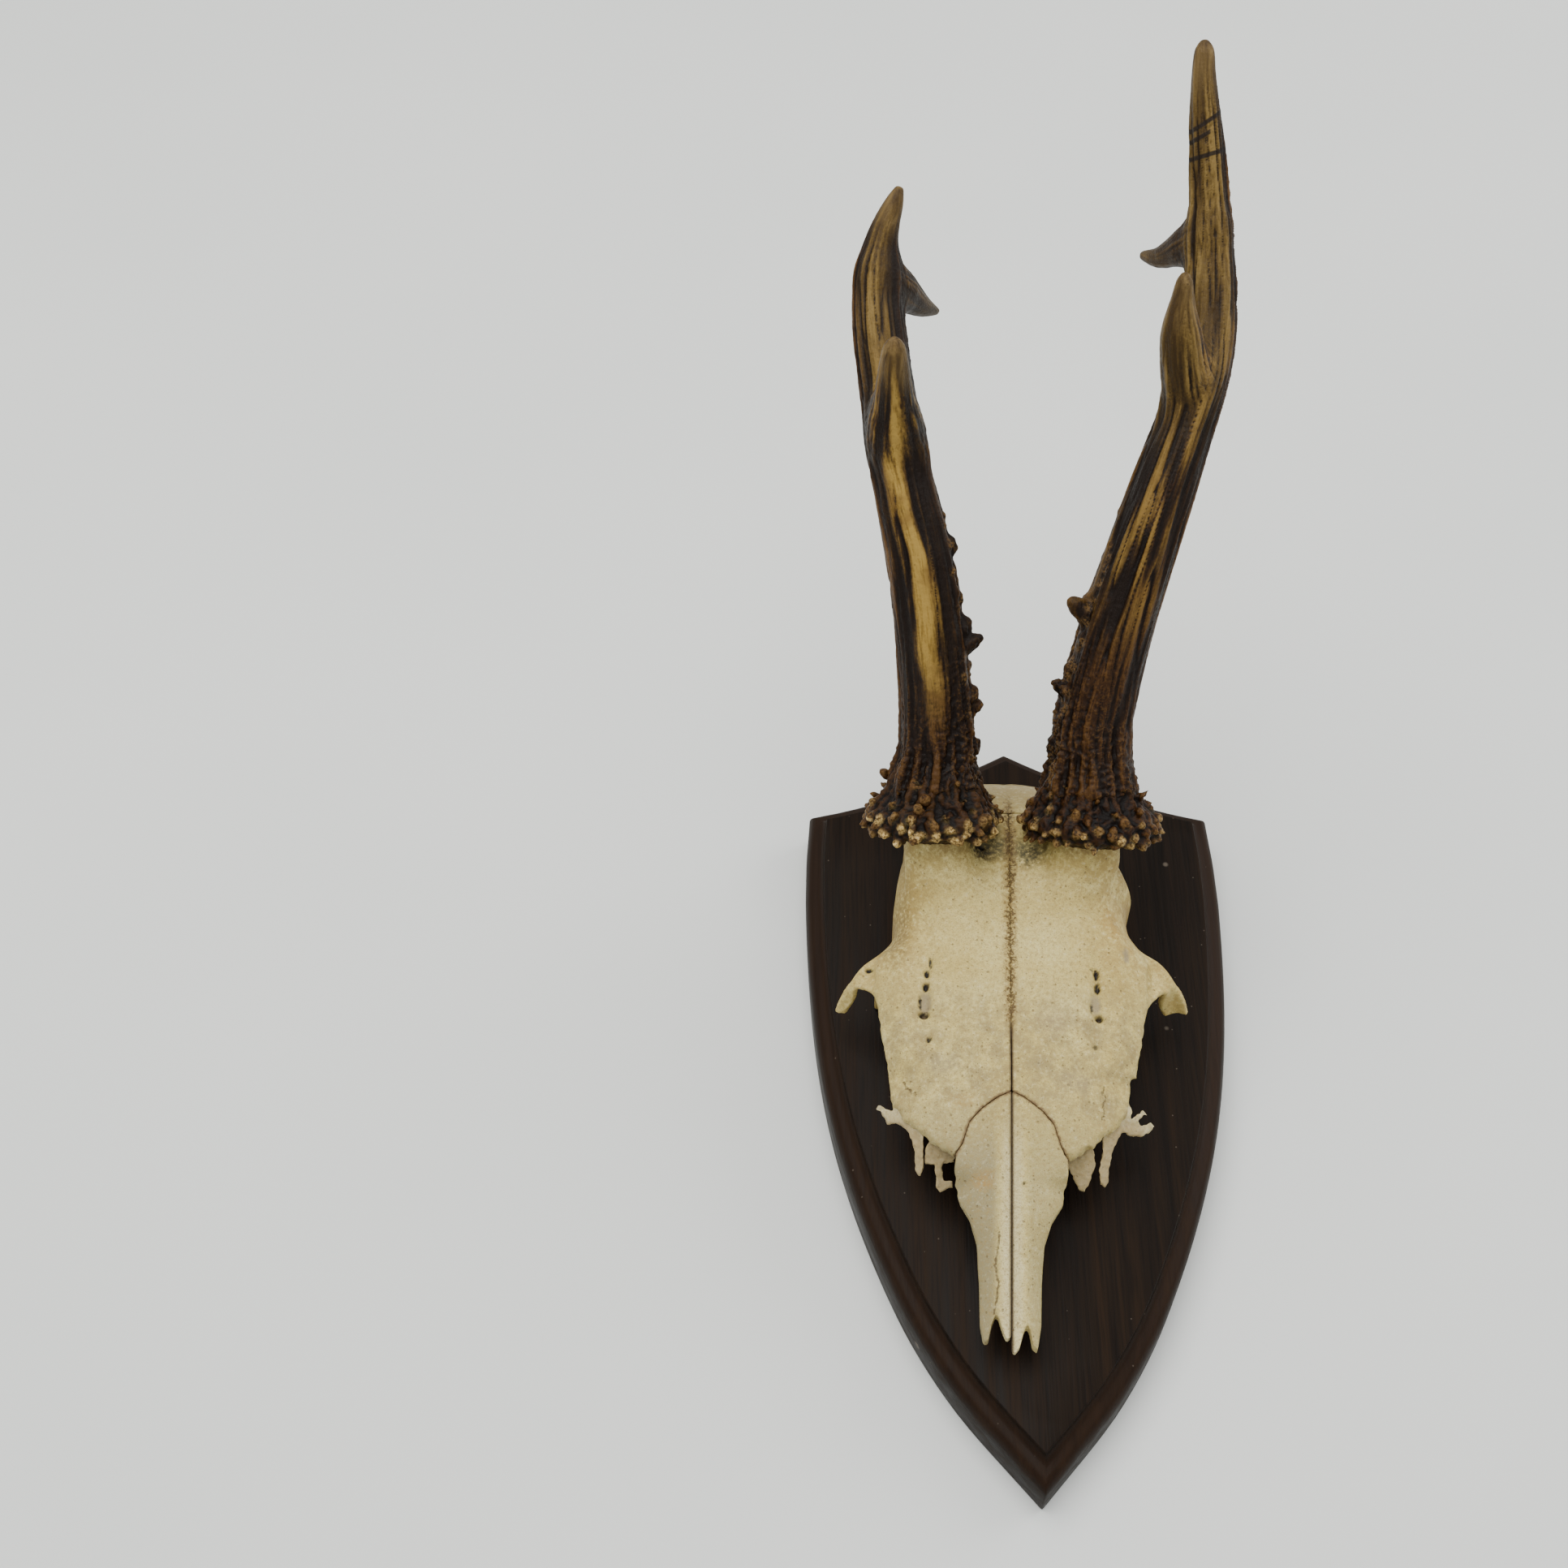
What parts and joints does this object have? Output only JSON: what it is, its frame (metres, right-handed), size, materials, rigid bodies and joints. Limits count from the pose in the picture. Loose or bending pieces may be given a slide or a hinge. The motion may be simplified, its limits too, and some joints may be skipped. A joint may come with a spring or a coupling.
{
  "type": "roe deer skull trophy",
  "caption": "Sawn roe buck skull cap with antlers on a pointed shield board, lying on the board's flat back.",
  "frame": {"origin": "middle of the shield board's flat back, halfway along its length", "axes": "+Z out of the board towards the skull, +Y along the board from its tip towards the antlers, +X to the right seen from the front"},
  "size_m": [0.1098, 0.275, 0.1901],
  "materials": {
    "board_wood": "dark stained wood with fine grain, satin",
    "skull_bone": "cleaned dry bone, cream with brown sutures, matt",
    "antler": "gutters dark brown with golden ridges, tan tips, half matt"
  },
  "bodies": {
    "root": {"shield_board": "board_wood", "frontal_left": "skull_bone", "frontal_right": "skull_bone", "nasal_left": "skull_bone", "nasal_right": "skull_bone", "parietal": "skull_bone", "occipital": "skull_bone", "lacrimal_left": "skull_bone", "lacrimal_right": "skull_bone", "maxilla_remnant_left": "skull_bone", "maxilla_remnant_right": "skull_bone", "coronet_left": "antler", "coronet_right": "antler", "beam_left": "antler", "beam_right": "antler", "front_tine_left": "antler", "front_tine_right": "antler", "rear_tine_left": "antler", "rear_tine_right": "antler", "top_tine_left": "antler", "top_tine_right": "antler"}
  },
  "joints": []
}
